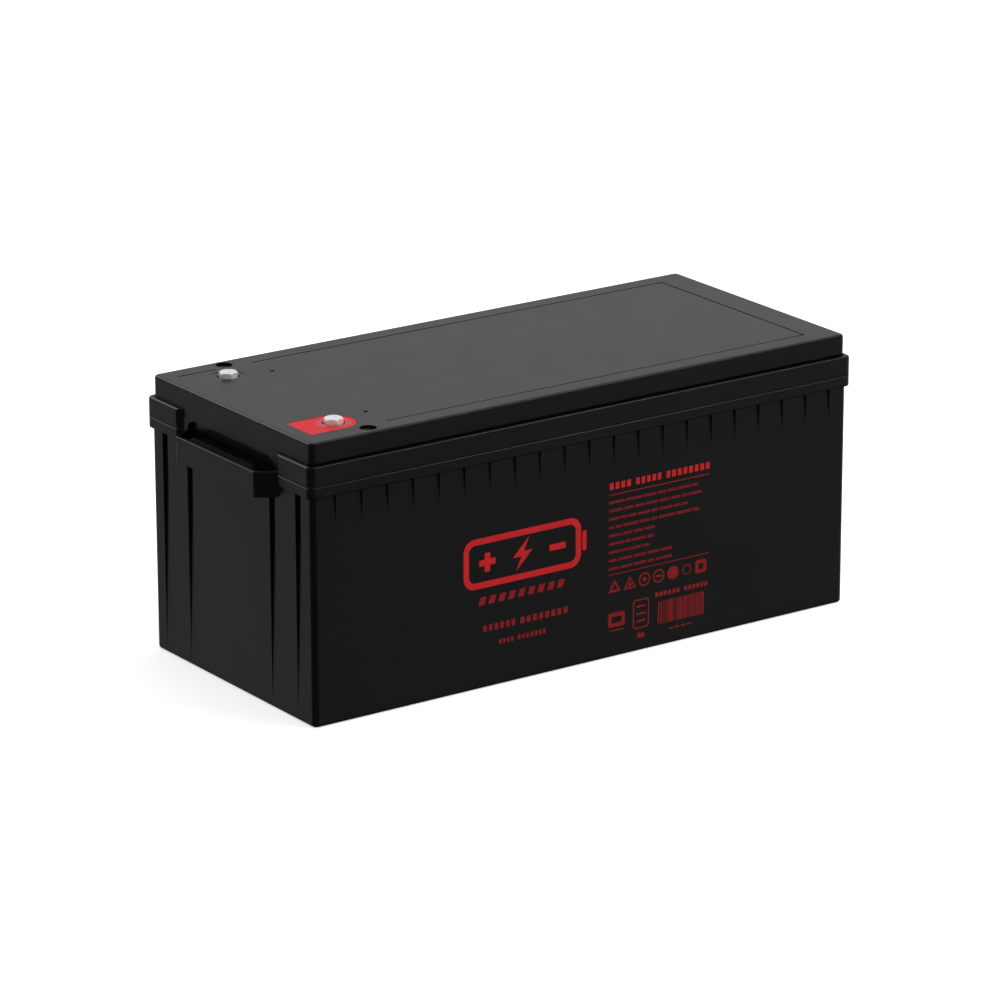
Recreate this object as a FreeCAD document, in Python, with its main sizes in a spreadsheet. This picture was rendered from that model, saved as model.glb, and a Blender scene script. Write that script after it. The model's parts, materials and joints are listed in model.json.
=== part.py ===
"""Deep cycle battery, 12 V valve-regulated AGM, 2 x 3 cells in one moulded container.

Millimetres, +Z up. The origin is the middle of the container's underside. X runs along the
length, with both terminals at the -X end and the positive one at -Y, in front.
Every size is driven by the spreadsheet named Sheet.
"""
import FreeCAD, Part
import os
import Sketcher

doc = FreeCAD.newDocument("DeepCycleBattery")
sheet = doc.addObject("Spreadsheet::Sheet", "Sheet")

DIMENSIONS = {
    # lid and container, outside
    "lid_length": 493.0, "lid_width": 217.8, "lid_top": 218.5, "lid_base": 203.2,
    "neck_inset": 1.5, "wall_top": 195.6,
    "case_length": 494.6, "case_width": 221.2, "draft": 0.2, "corner": 4.0,
    "lid_edge": 2.2, "foot_edge": 2.2,
    # collar round the mouth of the container
    "collar_top": 201.6, "collar_base": 177.2, "collar_end": 3.0, "collar_side": 2.2,
    "collar_corner": 5.0, "collar_base_edge": 1.0, "collar_top_edge": 1.8, "seat_gap": 0.4,
    "line_height": 186.8, "line_width": 1.3, "line_depth": 0.9,
    "opening_half": 64.8, "opening_splay": 5.5,
    # handle ledge, its tray and the rope
    "ledge_reach": 13.7, "ledge_half": 54.2, "ledge_top": 186.0, "ledge_base": 166.4,
    "ledge_skin": 3.0, "ledge_edge": 0.8, "tray_top": 178.7, "tray_thick": 2.5,
    "recess_depth": 4.0, "recess_half": 60.5, "recess_round": 9.0,
    "rope_radius": 4.0, "rope_bend": 5.5, "rope_half": 44.4, "rope_reach": 5.2,
    "rope_hole": 4.9, "rope_lift": 0.4, "stop_radius": 6.0, "stop_height": 4.3,
    "stop_play": 5.4, "stop_well": 6.7, "stop_round": 1.4,
    # grooves moulded in the walls
    "rib_count": 21, "rib_pitch": 22.84, "rib_width": 4.5, "rib_depth": 1.8, "rib_height": 24.0,
    "flute_width": 7.5, "flute_depth": 3.0, "flute_outer": 91.9, "flute_inner": 57.0,
    "flute_foot": 0.1,
    # container, inside
    "side_wall": 4.0, "end_wall": 7.5, "partition": 3.0, "bottom_wall": 4.0,
    # lid, inside
    "lid_ceiling": 213.0, "cover_left": -168.6, "cover_right": 219.8, "cover_half": 92.4,
    "cover_thick": 3.0, "cover_gap": 1.1, "cover_joint": 0.1, "cover_corner": 2.0,
    "valve_pitch": 130.0, "valve_boss": 13.0, "valve_boss_base": 199.5, "valve_well": 10.0,
    "valve_floor": 202.5, "nozzle_radius": 5.5, "nozzle_top": 210.5, "nozzle_bore": 2.5,
    "cap_radius": 7.5, "cap_height": 9.5, "cap_skin": 1.5, "cap_rib": 0.6,
    "port_offset": 189.6, "port_half": 98.4, "port_radius": 6.5, "port_depth": 4.6,
    "disc_thick": 2.0, "disc_play": 0.15,
    "pin_offset": 168.6, "pin_half": 63.8, "pin_radius": 1.9, "pin_depth": 2.4,
    "score_left": -234.4, "score_right": -200.7, "score_half": 92.0, "score_width": 1.4,
    "score_depth": 1.0,
    # terminals
    "pole_offset": 202.5, "pole_half": 72.0, "pole_radius": 9.5, "pole_top": 213.2,
    "pole_boss": 18.0, "pole_boss_base": 202.0, "pole_play": 0.1,
    "well_radius": 13.4, "well_floor": 207.0, "gasket_thick": 3.0, "gasket_play": 0.1,
    "seal_top": 218.3, "seal_bore": 9.7, "seal_mouth": 8.4,
    "foot_top": 190.0, "foot_half": 14.0,
    "insert_radius": 6.0, "insert_length": 13.0, "bore_radius": 4.0, "bore_depth": 15.0,
    "mark_left": -233.4, "mark_radius": 17.2, "mark_depth": 0.6, "mark_thick": 0.5,
    "mark_play": 0.1,
    # terminal bolt, M8 x 16, and its washers
    "bolt_radius": 3.95, "bolt_length": 16.0, "head_flats": 13.0, "head_height": 5.3,
    "head_dimple": 4.2, "dimple_depth": 0.5, "head_turn": 16.0, "head_chamfer": 0.6,
    "washer_radius": 7.5, "washer_bore": 4.3, "washer_thick": 1.6,
    "lock_radius": 6.35, "lock_thick": 2.0, "lock_slit": 1.6,
    # plate packs
    "plate_length": 146.0, "plate_foot": 8.0, "plate_top": 162.0,
    "positive_thick": 3.6, "negative_thick": 2.7, "mat_thick": 3.05,
    "mat_length": 150.0, "mat_foot": 5.0, "mat_top": 166.0,
    "lug_offset": 56.0, "lug_length": 18.0, "strap_length": 20.0, "strap_half": 51.0,
    "strap_base": 176.0, "strap_top": 184.0, "bridge_half": 12.0,
}
POSITIVE_PLATES = 8
CELL_COLUMNS = (-1, 0, 1)
ENDS = (-1, 1)

for row, (alias, amount) in enumerate(DIMENSIONS.items(), start=1):
    sheet.set(f"A{row}", alias)
    sheet.set(f"B{row}", str(amount))
    sheet.setAlias(f"B{row}", alias)
doc.recompute()


# ---------------------------------------------------------------- helpers

def sized(text):
    """A formula in the sheet's names, written for use outside the sheet."""
    words = []
    word = ""
    for letter in text + " ":
        if letter.isalnum() or letter == "_":
            word += letter
            continue
        words.append("Sheet." + word if word in DIMENSIONS else word)
        words.append(letter)
        word = ""
    return "".join(words).strip()


def amount_of(text):
    """The present value of such a formula, as a plain number."""
    value = sheet.evalExpression(sized(text))
    return float(getattr(value, "Value", value))


def bind(thing, **formulas):
    """Tie properties to the sheet; a double underscore stands for a dot in the path."""
    for path, formula in formulas.items():
        thing.setExpression(path.replace("__", "."), sized(formula))


def place(thing, x="0", y="0", z="0"):
    bind(thing, Placement__Base__x=x, Placement__Base__y=y, Placement__Base__z=z)


def box(name, x, y, z):
    """A Part::Box between pairs of formulas (low, high) on each axis."""
    made = doc.addObject("Part::Box", name)
    bind(made, Length=f"({x[1]}) - ({x[0]})", Width=f"({y[1]}) - ({y[0]})",
         Height=f"({z[1]}) - ({z[0]})")
    place(made, x[0], y[0], z[0])
    return made


def cylinder(name, radius, x, y, z):
    """An upright Part::Cylinder on the formulas x and y, between z = (low, high)."""
    made = doc.addObject("Part::Cylinder", name)
    bind(made, Radius=radius, Height=f"({z[1]}) - ({z[0]})")
    place(made, x, y, z[0])
    return made


def cut(name, base, tool):
    made = doc.addObject("Part::Cut", name)
    made.Base = base
    made.Tool = tool
    return made


def fuse(name, pieces):
    made = doc.addObject("Part::MultiFuse", name)
    made.Shapes = pieces
    return made


def group(name, pieces):
    """Several separate solids that share one node."""
    made = doc.addObject("Part::Compound", name)
    made.Links = pieces
    return made


def new_body(name):
    made = doc.addObject("PartDesign::Body", name)
    made.Label = name
    return made


def origin_plane(owner, role):
    return next(part for part in owner.Origin.OriginFeatures if part.Role == role)


def sketch(owner, name, role="XY_Plane", offset="0"):
    """A sketch on one of the body's origin planes, moved along the plane's normal."""
    made = owner.newObject("Sketcher::SketchObject", name)
    made.AttachmentSupport = (origin_plane(owner, role), [""])
    made.MapMode = "FlatFace"
    bind(made, AttachmentOffset__Base__z=offset)
    return made


def pin(drawing, geometry, point, axis, formula):
    """Hold one point's distance from the sketch origin to a formula."""
    size = amount_of(formula)
    index = drawing.addConstraint(Sketcher.Constraint(axis, -1, 1, geometry, point, size))
    drawing.setExpression(f"Constraints[{index}]", sized(formula))


def outline(drawing, corners):
    """A closed outline of straight sides; each corner is a pair of formulas."""
    spots = [FreeCAD.Vector(amount_of(x), amount_of(y), 0) for x, y in corners]
    first = drawing.GeometryCount
    count = len(corners)
    for index in range(count):
        side = Part.LineSegment(spots[index], spots[(index + 1) % count])
        drawing.addGeometry(side, False)
    for index in range(count):
        following = first + (index + 1) % count
        drawing.addConstraint(Sketcher.Constraint("Coincident", first + index, 2, following, 1))
    for index, (x, y) in enumerate(corners):
        pin(drawing, first + index, 1, "DistanceX", x)
        pin(drawing, first + index, 1, "DistanceY", y)


def rectangle(drawing, x, y):
    """A rectangle between pairs of formulas (low, high)."""
    outline(drawing, [(x[0], y[0]), (x[1], y[0]), (x[1], y[1]), (x[0], y[1])])


def circle(drawing, radius, x, y):
    centre = FreeCAD.Vector(amount_of(x), amount_of(y), 0)
    up = FreeCAD.Vector(0, 0, 1)
    geometry = drawing.addGeometry(Part.Circle(centre, up, amount_of(radius)), False)
    size = Sketcher.Constraint("Radius", geometry, amount_of(radius))
    index = drawing.addConstraint(size)
    drawing.setExpression(f"Constraints[{index}]", sized(radius))
    pin(drawing, geometry, 3, "DistanceX", x)
    pin(drawing, geometry, 3, "DistanceY", y)


def feature(owner, kind, name, profile, length, **settings):
    """A Pad or Pocket of a sketch by a formula."""
    made = owner.newObject(f"PartDesign::{kind}", name)
    made.Profile = profile
    bind(made, Length=length)
    for key, value in settings.items():
        setattr(made, key, value)
    profile.Visibility = False
    return made


def row_of(owner, name, original, axis, span, count):
    """A linear pattern of one feature along an origin axis."""
    made = owner.newObject("PartDesign::LinearPattern", name)
    made.Originals = [original]
    made.Direction = (origin_plane(owner, axis), [""])
    bind(made, Length=span, Occurrences=count)
    owner.Tip = made
    return made


def round_edges(owner, name, kind, size, chosen):
    """A fillet or chamfer on the tip's edges that pass a test."""
    doc.recompute()
    tip = owner.Tip
    picked = [f"Edge{index}" for index, edge in enumerate(tip.Shape.Edges, start=1) if chosen(edge)]
    if not picked:
        raise RuntimeError(f"{name}: no edge fits the test")
    made = owner.newObject(f"PartDesign::{kind}", name)
    made.Base = (tip, picked)
    bind(made, **{"Radius" if kind == "Fillet" else "Size": size})
    doc.recompute()
    return made


def upright(edge):
    ends = [vertex.Point for vertex in edge.Vertexes]
    if len(ends) != 2:
        return False
    run = ends[1] - ends[0]
    return abs(run.z) > 0.98 * run.Length


def level_at(height):
    """A test for edges that lie flat at one height."""
    level = amount_of(height)
    return lambda edge: (abs(edge.BoundBox.ZMin - level) < 0.01
                         and abs(edge.BoundBox.ZMax - level) < 0.01)


def outside(edge, half_length, half_width):
    """True for an edge on or beyond the given half sizes in plan."""
    spot = edge.CenterOfMass
    return (abs(spot.x) > amount_of(half_length) - 0.01
            or abs(spot.y) > amount_of(half_width) - 0.01)


# ---------------------------------------------------------------- container

CELL_LENGTH = "((lid_length - 2 * end_wall - 2 * partition) / 3)"
CELL_WIDTH = "((lid_width - 2 * side_wall - partition) / 2)"
CELL_STEP = f"({CELL_LENGTH} + partition)"
ROW_HALF = f"(({CELL_WIDTH} + partition) / 2)"


def cell_rectangles(drawing):
    """The plan of the six cells, three along X in each of two rows."""
    for side in ENDS:
        middle_y = f"{side} * {ROW_HALF}"
        for column in CELL_COLUMNS:
            middle_x = f"{column} * {CELL_STEP}"
            rectangle(drawing,
                      (f"{middle_x} - {CELL_LENGTH} / 2", f"{middle_x} + {CELL_LENGTH} / 2"),
                      (f"{middle_y} - {CELL_WIDTH} / 2", f"{middle_y} + {CELL_WIDTH} / 2"))


def ledge_outline(drawing, side, skin):
    """The ledge in plan: a flat plate with two splayed ends that run back to the wall."""
    face = f"{side} * (case_length / 2 + ledge_reach - {skin})"
    wall = f"{side} * (case_length / 2)"
    near = f"ledge_half - {skin}"
    far = f"opening_half - 1.25 * {skin}"
    outline(drawing, [(face, f"-({near})"), (face, near), (wall, far), (wall, f"-({far})")])


def container():
    case = new_body("case")
    # tapered block, narrow at the foot
    foot = sketch(case, "case_foot")
    rectangle(foot, ("-case_length / 2 + draft", "case_length / 2 - draft"),
              ("-case_width / 2 + draft", "case_width / 2 - draft"))
    block = feature(case, "Pad", "case_block", foot, "wall_top")
    bind(block, TaperAngle="atan(draft / wall_top)")
    round_edges(case, "case_corners", "Fillet", "corner", upright)
    round_edges(case, "case_underside", "Fillet", "foot_edge", level_at("0"))
    # collar round the mouth
    collar_length = "(case_length / 2 + collar_end)"
    collar_width = "(case_width / 2 + collar_side)"
    ring = sketch(case, "collar_plan", offset="collar_base")
    rectangle(ring, (f"-{collar_length}", collar_length), (f"-{collar_width}", collar_width))
    feature(case, "Pad", "collar", ring, "collar_top - collar_base")
    round_edges(case, "collar_corners", "Fillet", "collar_corner",
                lambda edge: upright(edge) and edge.BoundBox.ZMin > amount_of("collar_base - 1")
                and outside(edge, "case_length / 2 + 1", "case_width / 2 + 1"))
    for word in ("base", "top"):
        at_rim = level_at(f"collar_{word}")
        round_edges(case, f"collar_{word}_rim", "Fillet", f"collar_{word}_edge",
                    lambda edge: at_rim(edge) and outside(edge, "case_length / 2 + 1",
                                                          "case_width / 2 + 1"))
    # fine line round the collar
    line = sketch(case, "collar_line_plan", offset="line_height")
    for growth in ("-line_depth", "2"):
        length = f"({collar_length} + ({growth}))"
        width = f"({collar_width} + ({growth}))"
        rectangle(line, (f"-{length}", length), (f"-{width}", width))
    feature(case, "Pocket", "collar_line", line, "line_width")
    under_line = level_at("line_height - line_width")
    round_edges(case, "collar_line_lip", "Chamfer", "0.25 * line_depth",
                lambda edge: under_line(edge) and outside(edge, f"{collar_length} - 0.1",
                                                          f"{collar_width} - 0.1"))
    # seat for the lid, and the six cells
    seat = sketch(case, "seat_plan", offset="collar_top")
    rectangle(seat, ("-lid_length / 2 - seat_gap", "lid_length / 2 + seat_gap"),
              ("-lid_width / 2 - seat_gap", "lid_width / 2 + seat_gap"))
    feature(case, "Pocket", "lid_seat", seat, "collar_top - wall_top")
    cells = sketch(case, "cell_plan", offset="wall_top")
    cell_rectangles(cells)
    feature(case, "Pocket", "cell_cavities", cells, "wall_top - bottom_wall")
    # the collar is open above each ledge
    gates = sketch(case, "opening_plan", offset="collar_top")
    for side in ENDS:
        wall = f"{side} * (lid_length / 2 + seat_gap)"
        far = f"{side} * (case_length / 2 + 2 * collar_end)"
        wide = "opening_half + 2 * opening_splay"
        outline(gates, [(wall, "-opening_half"), (wall, "opening_half"),
                        (far, wide), (far, f"-({wide})")])
    feature(case, "Pocket", "collar_openings", gates, "collar_top - collar_base")
    # ledges with an open tray on top and a hollow underneath
    ledges = sketch(case, "ledge_plan", offset="ledge_base")
    trays = sketch(case, "tray_plan", offset="ledge_top")
    hollows = sketch(case, "hollow_plan", offset="tray_top - tray_thick")
    for side in ENDS:
        wall = f"{side} * (lid_length / 2 - seat_gap)"
        face = f"{side} * (case_length / 2 + ledge_reach)"
        flank = f"{side} * (lid_length / 2 + seat_gap)"
        outline(ledges, [(face, "-ledge_half"), (face, "ledge_half"), (flank, "opening_half"),
                         (wall, "opening_half"), (wall, "-opening_half"), (flank, "-opening_half")])
        ledge_outline(trays, side, "ledge_skin")
        ledge_outline(hollows, side, "ledge_skin")
    feature(case, "Pad", "ledges", ledges, "ledge_top - ledge_base")
    round_edges(case, "ledge_corners", "Fillet", "3 * ledge_edge",
                lambda edge: upright(edge)
                and abs(edge.CenterOfMass.x) > amount_of("case_length / 2 + ledge_reach - 0.1"))
    round_edges(case, "ledge_rims", "Fillet", "ledge_edge",
                lambda edge: (level_at("ledge_base")(edge) or level_at("ledge_top")(edge))
                and abs(edge.CenterOfMass.x) > amount_of("case_length / 2 + ledge_reach - 2"))
    feature(case, "Pocket", "trays", trays, "ledge_top - tray_top")
    feature(case, "Pocket", "hollows", hollows, "tray_top - tray_thick - ledge_base")
    # recess in the wall behind each tray, with rounded upper corners
    for side, word in ((-1, "left"), (1, "right")):
        recess = sketch(case, f"{word}_recess_plan", "YZ_Plane",
                        f"{side} * (lid_length / 2 + seat_gap)")
        bend = "recess_round * (1 - sqrt(0.5))"
        outline(recess, [("-recess_half", "tray_top"), ("recess_half", "tray_top"),
                         ("recess_half", "wall_top - recess_round"),
                         (f"recess_half - {bend}", f"wall_top - {bend}"),
                         ("recess_half - recess_round", "wall_top"),
                         ("recess_round - recess_half", "wall_top"),
                         (f"{bend} - recess_half", f"wall_top - {bend}"),
                         ("-recess_half", "wall_top - recess_round")])
        feature(case, "Pocket", f"{word}_recess", recess, "recess_depth", Reversed=side < 0)
    # rope holes, each with a well below for the stop
    wells = sketch(case, "stop_well_plan", offset="tray_top - tray_thick")
    holes = sketch(case, "rope_hole_plan", offset="tray_top")
    for side in ENDS:
        for across in ENDS:
            spot = (f"{side} * (case_length / 2 + rope_reach)", f"{across} * rope_half")
            circle(wells, "stop_well", *spot)
            circle(holes, "rope_hole", *spot)
    feature(case, "Pocket", "stop_wells", wells, "tray_top - tray_thick - ledge_base")
    feature(case, "Pocket", "rope_holes", holes, "tray_thick")
    # short ribs under the collar, on the front and the back
    first_rib = "-(rib_count - 1) / 2 * rib_pitch"
    rib = sketch(case, "rib_profile", "YZ_Plane", f"{first_rib} + rib_width / 2")
    for side in ENDS:
        face = f"{side} * (case_width / 2"
        outline(rib, [(f"{face} + 1)", "collar_base - rib_height"),
                      (f"{face} - draft / 6)", "collar_base - rib_height"),
                      (f"{face} - rib_depth)", "collar_base"), (f"{face} + 1)", "collar_base")])
    one_rib = feature(case, "Pocket", "first_rib", rib, "rib_width")
    row_of(case, "ribs", one_rib, "X_Axis", "(rib_count - 1) * rib_pitch", "rib_count")
    # long flutes down both ends, shallower towards the foot
    for word, half, top in (("outer", "flute_outer", "collar_base"),
                            ("inner", "flute_inner", "ledge_base")):
        flute = sketch(case, f"{word}_flute_profile", "XZ_Plane", f"{half} + flute_width / 2")
        for side in ENDS:
            base = f"{side} * (case_length / 2 - draft"
            outline(flute, [(f"{base} + 4)", "0"), (f"{base} + flute_foot)", "0"),
                            (f"{base} + draft - flute_depth)", top), (f"{base} + 4)", top)])
        one_flute = feature(case, "Pocket", f"first_{word}_flute", flute, "flute_width")
        row_of(case, f"{word}_flutes", one_flute, "Y_Axis", f"2 * {half}", "2")
    # windows in the partitions for the cell connectors
    height = "(strap_top - strap_base)"
    windows = sketch(case, "window_plan", offset="strap_top")
    for side in ENDS:
        for across in ENDS:
            wall = f"{across} * {CELL_STEP} / 2"
            rectangle(windows, (f"{wall} - partition / 2", f"{wall} + partition / 2"),
                      (f"{side} * {ROW_HALF} - bridge_half", f"{side} * {ROW_HALF} + bridge_half"))
    link = f"({CELL_STEP} + lug_offset)"
    rectangle(windows, (f"{link} - strap_length / 2", f"{link} + strap_length / 2"),
              ("-partition / 2", "partition / 2"))
    feature(case, "Pocket", "partition_windows", windows, height)
    return case


# ---------------------------------------------------------------- lid

def lid_body():
    lid = new_body("lid")
    plan = sketch(lid, "lid_plan", offset="lid_base")
    rectangle(plan, ("-lid_length / 2", "lid_length / 2"), ("-lid_width / 2", "lid_width / 2"))
    feature(lid, "Pad", "lid_slab", plan, "lid_top - lid_base")
    round_edges(lid, "lid_corners", "Fillet", "corner", upright)
    round_edges(lid, "lid_rim", "Fillet", "lid_edge", level_at("lid_top"))
    # neck that stands on the container's walls, flush with the lid between its end corners
    for word, length, width in (("neck", "neck_inset", "neck_inset"), ("neck_ends", "0", "corner")):
        neck = sketch(lid, f"{word}_plan", offset="wall_top")
        rectangle(neck, (f"-lid_length / 2 + {length}", f"lid_length / 2 - {length}"),
                  (f"-lid_width / 2 + {width}", f"lid_width / 2 - {width}"))
        feature(lid, "Pad", f"lid_{word}", neck, "lid_base - wall_top")
    # the six cells carry on up inside the lid
    cells = sketch(lid, "lid_cell_plan", offset="wall_top")
    cell_rectangles(cells)
    feature(lid, "Pocket", "lid_cavities", cells, "lid_ceiling - wall_top", Reversed=True)
    # bosses under the poles and the valves
    pole_bosses = sketch(lid, "pole_boss_plan", offset="pole_boss_base")
    for side in ENDS:
        circle(pole_bosses, "pole_boss", "-pole_offset", f"{side} * pole_half")
    feature(lid, "Pad", "pole_bosses", pole_bosses, "lid_ceiling - pole_boss_base")
    valve_bosses = sketch(lid, "valve_boss_plan", offset="valve_boss_base")
    valve_wells = sketch(lid, "valve_well_plan", offset="lid_top")
    nozzles = sketch(lid, "nozzle_plan", offset="valve_floor")
    bores = sketch(lid, "nozzle_bore_plan", offset="nozzle_top")
    for side in ENDS:
        for column in CELL_COLUMNS:
            spot = (f"{column} * valve_pitch", f"{side} * {ROW_HALF}")
            circle(valve_bosses, "valve_boss", *spot)
            circle(valve_wells, "valve_well", *spot)
            circle(nozzles, "nozzle_radius", *spot)
            circle(bores, "nozzle_bore", *spot)
    feature(lid, "Pad", "valve_bosses", valve_bosses, "lid_ceiling - valve_boss_base")
    feature(lid, "Pocket", "valve_wells", valve_wells, "lid_top - valve_floor")
    feature(lid, "Pad", "nozzles", nozzles, "nozzle_top - valve_floor")
    feature(lid, "Pocket", "nozzle_bores", bores, "nozzle_top - valve_boss_base")
    # shallow bed for the vent cover
    bed = sketch(lid, "cover_bed_plan", offset="lid_top")
    rectangle(bed, ("cover_left", "cover_right"), ("-cover_half", "cover_half"))
    feature(lid, "Pocket", "cover_bed", bed, "cover_thick")
    # pole wells and holes
    wells = sketch(lid, "pole_well_plan", offset="lid_top")
    holes = sketch(lid, "pole_hole_plan", offset="lid_top")
    ports = sketch(lid, "port_plan", offset="lid_top")
    pins = sketch(lid, "pin_plan", offset="lid_top")
    for side in ENDS:
        circle(wells, "well_radius", "-pole_offset", f"{side} * pole_half")
        circle(holes, "pole_radius + pole_play", "-pole_offset", f"{side} * pole_half")
        circle(ports, "port_radius", "-port_offset", f"{side} * port_half")
        circle(pins, "pin_radius", "-pin_offset", f"{side} * pin_half")
    feature(lid, "Pocket", "pole_wells", wells, "lid_top - well_floor")
    feature(lid, "Pocket", "pole_holes", holes, "lid_top - pole_boss_base")
    feature(lid, "Pocket", "ports", ports, "port_depth")
    feature(lid, "Pocket", "pin_holes", pins, "pin_depth")
    # scored line behind the negative pole
    score = sketch(lid, "score_plan", offset="lid_top")
    rectangle(score, ("score_left", "score_right"),
              ("score_half - score_width / 2", "score_half + score_width / 2"))
    feature(lid, "Pocket", "scored_line", score, "score_depth")
    # bed for the positive mark: a square tail and a round end about the pole
    tail = sketch(lid, "mark_tail_plan", offset="lid_top")
    rectangle(tail, ("mark_left", "-pole_offset"),
              ("-pole_half - mark_radius", "-pole_half + mark_radius"))
    feature(lid, "Pocket", "mark_tail_bed", tail, "mark_depth")
    disc = sketch(lid, "mark_round_plan", offset="lid_top")
    circle(disc, "mark_radius", "-pole_offset", "-pole_half")
    feature(lid, "Pocket", "mark_round_bed", disc, "mark_depth")
    return lid


def vent_cover():
    cover = new_body("vent_cover")
    plan = sketch(cover, "cover_plan", offset="lid_top - cover_thick")
    rectangle(plan, ("cover_left + cover_joint", "cover_right - cover_gap"),
              ("-cover_half + cover_gap", "cover_half - cover_gap"))
    feature(cover, "Pad", "cover_plate", plan, "cover_thick")
    round_edges(cover, "cover_corners", "Fillet", "cover_corner", upright)
    left_edge = amount_of("cover_left + cover_joint")
    round_edges(cover, "cover_rim", "Fillet", "cover_gap / 3",
                lambda edge: level_at("lid_top")(edge) and edge.BoundBox.XMax > left_edge + 0.1)
    pins = sketch(cover, "cover_pin_plan", offset="lid_top")
    for side in ENDS:
        circle(pins, "pin_radius", "-pin_offset", f"{side} * pin_half")
    feature(cover, "Pocket", "cover_pin_holes", pins, "pin_depth")
    return cover


def relief_valves():
    """Six rubber caps, each pushed over a nozzle under the vent cover."""
    caps = []
    for side in ENDS:
        for column in CELL_COLUMNS:
            name = f"cap_{len(caps) + 1}"
            spot = (f"{column} * valve_pitch", f"{side} * {ROW_HALF}")
            base = "nozzle_top + cap_skin - cap_height"
            skirt = cylinder(f"{name}_skirt", "cap_radius", *spot, (base, "nozzle_top + cap_skin"))
            bead = cylinder(f"{name}_bead", "cap_radius + cap_rib", *spot, (base, f"{base} + cap_skin"))
            inner = cylinder(f"{name}_inner", "nozzle_radius", *spot, (base, "nozzle_top"))
            caps.append(cut(name, fuse(f"{name}_outer", [skirt, bead]), inner))
    return group("relief_valves", caps)


def flame_arrestors():
    """Two porous discs at the bottom of the round vent ports."""
    discs = []
    for side in ENDS:
        floor = "lid_top - port_depth"
        discs.append(cylinder(f"arrestor_{len(discs) + 1}", "port_radius - disc_play", "-port_offset",
                              f"{side} * port_half", (floor, f"{floor} + disc_thick")))
    return group("flame_arrestors", discs)


def positive_mark():
    mark = new_body("positive_mark")
    base = "lid_top - mark_depth"
    round_end = sketch(mark, "mark_round", offset=base)
    circle(round_end, "mark_radius - mark_play", "-pole_offset", "-pole_half")
    feature(mark, "Pad", "mark_disc", round_end, "mark_thick")
    tail = sketch(mark, "mark_tail", offset=base)
    rectangle(tail, ("mark_left + mark_play", "-pole_offset"),
              ("-pole_half - mark_radius + mark_play", "-pole_half + mark_radius - mark_play"))
    feature(mark, "Pad", "mark_square", tail, "mark_thick")
    centre = sketch(mark, "mark_centre", offset="lid_top")
    circle(centre, "well_radius + mark_play", "-pole_offset", "-pole_half")
    feature(mark, "Pocket", "mark_hole", centre, "mark_depth")
    return mark


# ---------------------------------------------------------------- terminals

def terminal(word, side):
    """Pole, threaded insert, gasket, potted seal, washers and bolt of one terminal."""
    x = "-pole_offset"
    y = f"{side} * pole_half"
    strap = f"(-{CELL_STEP} - lug_offset)"
    foot = box(f"{word}_pole_foot", (f"{strap} - strap_length / 2", "-pole_offset + pole_radius"),
               (f"{y} - foot_half", f"{y} + foot_half"), ("strap_top", "foot_top"))
    column = cylinder(f"{word}_pole_column", "pole_radius", x, y, ("foot_top", "pole_top"))
    insert_height = ("pole_top - insert_length", "pole_top")
    bore_height = ("pole_top - bore_depth", "pole_top")
    socket = fuse(f"{word}_pole_socket",
                  [cylinder(f"{word}_insert_room", "insert_radius", x, y, insert_height),
                   cylinder(f"{word}_bolt_room", "bore_radius", x, y, bore_height)])
    pole = cut(f"{word}_pole", fuse(f"{word}_pole_blank", [foot, column]), socket)

    def ring(name, outer, inner, height):
        return cut(f"{word}_{name}", cylinder(f"{word}_{name}_disc", outer, x, y, height),
                   cylinder(f"{word}_{name}_hole", inner, x, y, height))

    gasket_top = "well_floor + gasket_thick"
    lock_base = "pole_top + washer_thick"
    lock_top = f"{lock_base} + lock_thick"
    insert = ring("insert", "insert_radius", "bore_radius", insert_height)
    gasket = ring("gasket", "well_radius - gasket_play", "pole_radius + gasket_play",
                  ("well_floor", gasket_top))
    seal_room = fuse(f"{word}_seal_room",
                     [cylinder(f"{word}_seal_bore", "seal_bore", x, y, (gasket_top, "pole_top")),
                      cylinder(f"{word}_seal_mouth", "seal_mouth", x, y, ("pole_top", "seal_top"))])
    seal = cut(f"{word}_seal", cylinder(f"{word}_seal_disc", "well_radius - gasket_play", x, y,
                                        (gasket_top, "seal_top")), seal_room)
    washer = ring("flat_washer", "washer_radius", "washer_bore", ("pole_top", lock_base))
    lock_ring = ring("lock_ring", "lock_radius", "washer_bore", (lock_base, lock_top))
    slit = box(f"{word}_lock_slit", (f"{x}", f"{x} + 2 * lock_radius"),
               (f"{y} - lock_slit / 2", f"{y} + lock_slit / 2"), (lock_base, lock_top))
    lock = cut(f"{word}_spring_washer", lock_ring, slit)

    return [pole, insert, gasket, seal, washer, lock, terminal_bolt(word, side, lock_top)]


def terminal_bolt(word, side, seat):
    bolt = new_body(f"{word}_bolt")
    head = sketch(bolt, f"{word}_head_plan")
    corner = "head_flats / sqrt(3)"
    outline(head, [(f"{corner} * cos({60 * turn}deg)", f"{corner} * sin({60 * turn}deg)")
                   for turn in range(6)])
    feature(bolt, "Pad", f"{word}_head", head, "head_height")
    round_edges(bolt, f"{word}_head_chamfer", "Chamfer", "head_chamfer",
                level_at("head_height"))
    dimple = sketch(bolt, f"{word}_dimple_plan", offset="head_height")
    circle(dimple, "head_dimple", "0", "0")
    feature(bolt, "Pocket", f"{word}_dimple", dimple, "dimple_depth")
    shank = sketch(bolt, f"{word}_shank_plan", offset="-bolt_length")
    circle(shank, "bolt_radius", "0", "0")
    feature(bolt, "Pad", f"{word}_shank", shank, "bolt_length")
    round_edges(bolt, f"{word}_shank_end", "Chamfer", "head_chamfer", level_at("-bolt_length"))
    place(bolt, "-pole_offset", f"{side} * pole_half", seat)
    bind(bolt, Placement__Rotation__Angle="head_turn")
    return bolt


# ---------------------------------------------------------------- rope handles

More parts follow.
